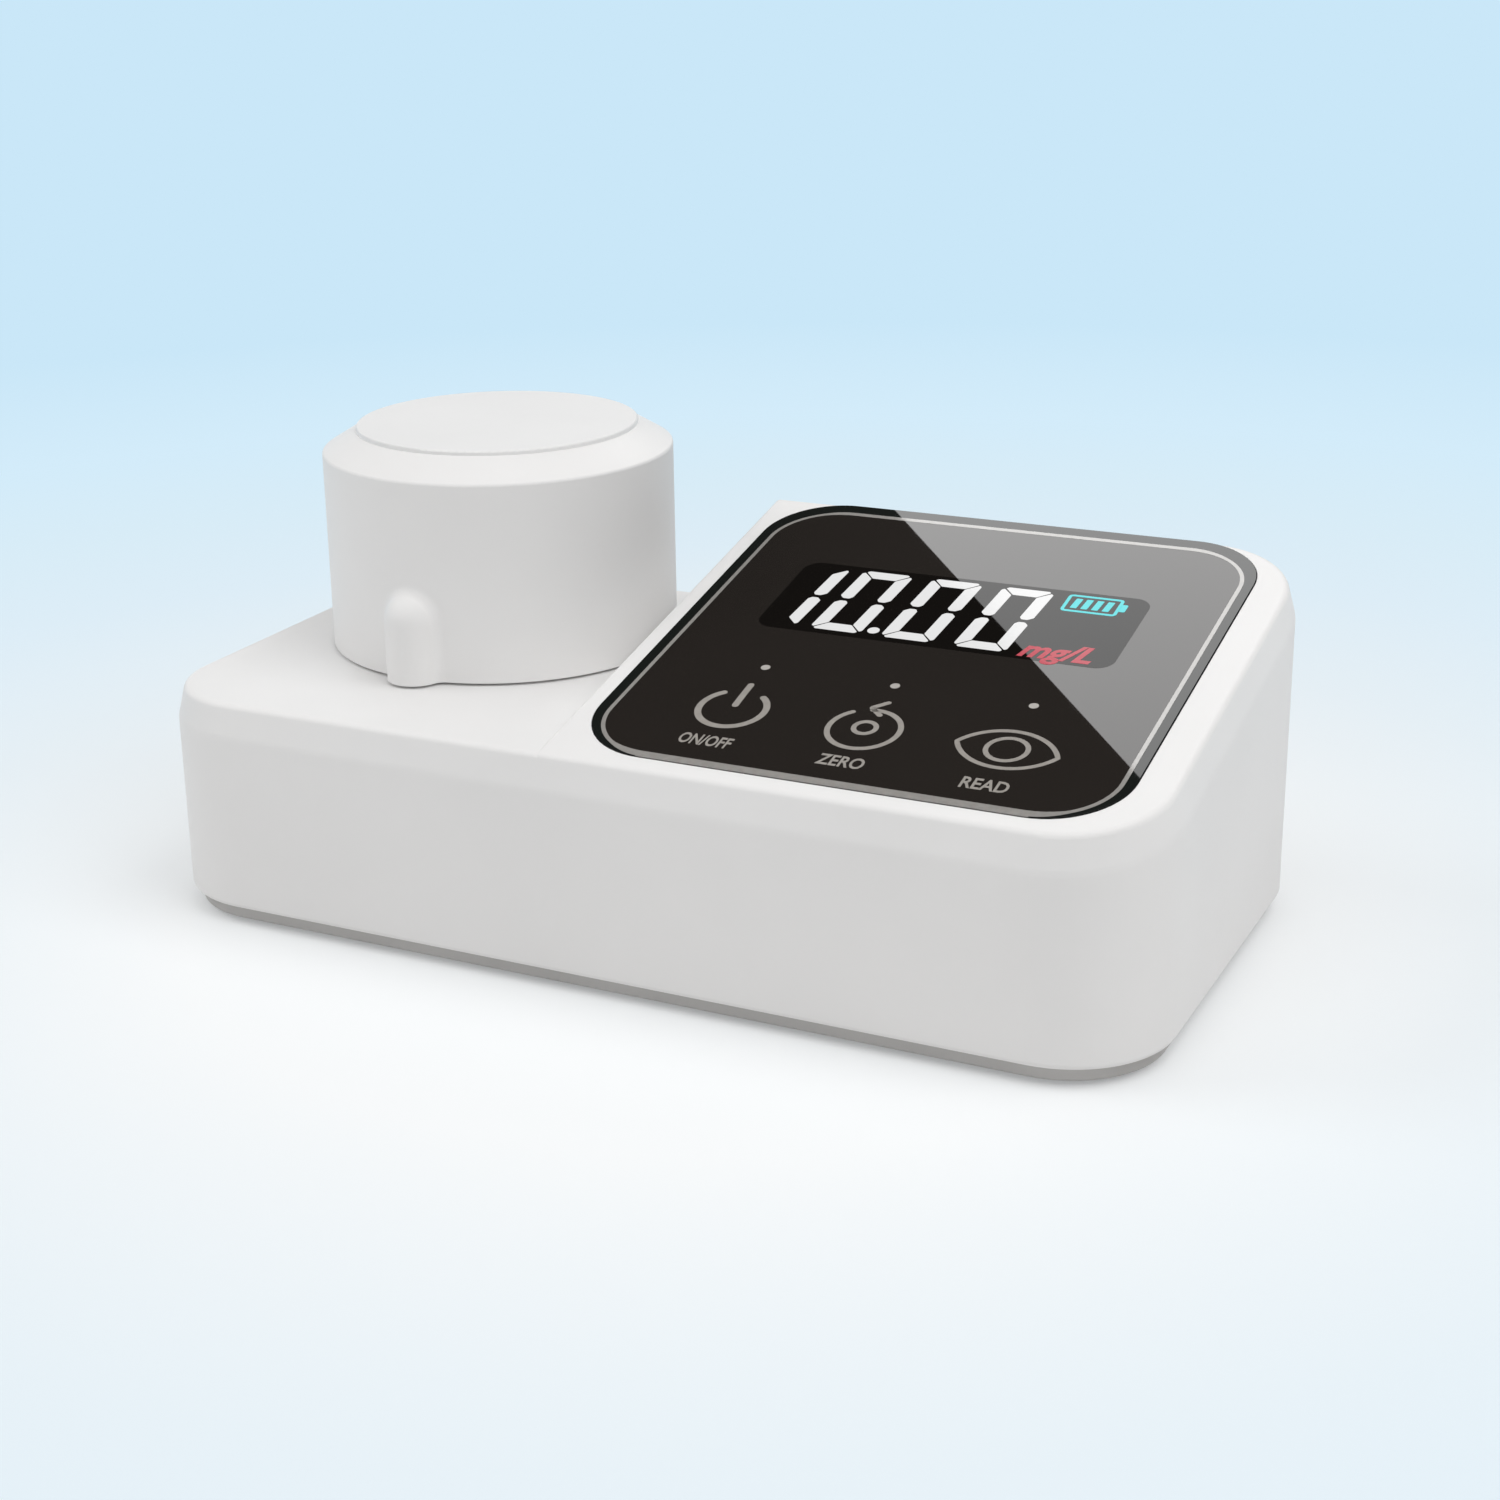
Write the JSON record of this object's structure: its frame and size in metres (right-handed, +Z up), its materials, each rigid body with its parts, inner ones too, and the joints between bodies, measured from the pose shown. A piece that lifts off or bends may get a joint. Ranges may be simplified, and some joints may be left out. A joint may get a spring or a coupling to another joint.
{
  "type": "chlorine dioxide meter",
  "caption": "Low bench photometer with a lift-off round light cap over its sample well and a black touch panel on a sloping wedge.",
  "frame": {"origin": "middle of the footprint at the bench, under the rubber feet", "axes": "+X to the right along the longest side, +Y to the back, +Z up along the sample well's axis"},
  "size_m": [0.19, 0.1, 0.0845],
  "materials": {
    "white_abs": "fine satin",
    "grey_abs": "satin",
    "black_plastic": "matt",
    "foam_black": "foam",
    "rubber_grey": "matt",
    "panel_black": "glossy",
    "steel": "plain",
    "board_green": "solder resist",
    "chip_black": "moulded",
    "connector_cream": "moulded",
    "display_black": "glossy",
    "optic_glass": "clear",
    "clear_resin": "clear",
    "diode_metal": "plated",
    "capacitor_can": "sleeved",
    "battery_wrap": "foil pouch",
    "lead_sleeve": "insulated",
    "ribbon_film": "film"
  },
  "bodies": {
    "base": {"battery_lead": "lead_sleeve", "battery_pack": "battery_wrap", "battery_tape": "foam_black", "board_chips": "chip_black", "board_connectors": "connector_cream", "bottom_cover": "grey_abs", "buzzer": "black_plastic", "cap_seat_gasket": "foam_black", "capacitors": "capacitor_can", "condenser_lens": "optic_glass", "cuvette_well": "black_plastic", "detector_board": "board_green", "detector_lead": "lead_sleeve", "detector_screws": "steel", "display_board": "board_green", "display_board_screws": "steel", "display_module": "display_black", "display_ribbon": "ribbon_film", "filter_ring": "black_plastic", "housing_screws": "steel", "indicator_leds": "connector_cream", "led_holder": "black_plastic", "light_pipes": "clear_resin", "main_board": "board_green", "main_board_screws": "steel", "optical_filter": "optic_glass", "panel_adhesive": "foam_black", "panel_glass": "panel_black", "photodiode": "diode_metal", "ribbon_sockets": "connector_cream", "rubber_feet": "rubber_grey", "sensor_connectors": "connector_cream", "source_board": "board_green", "source_lead": "lead_sleeve", "source_led": "clear_resin", "source_screws": "steel", "touch_pads": "rubber_grey", "upper_housing": "white_abs", "usb_socket": "steel", "well_screws": "steel"},
    "cap": {"light_cap": "white_abs", "cap_liner": "black_plastic"}
  },
  "joints": [
    {"name": "cap_lift", "type": "slide", "parent": "base", "child": "cap", "axis": [0, 0, 1], "range_m": [0, 0.12]}
  ]
}
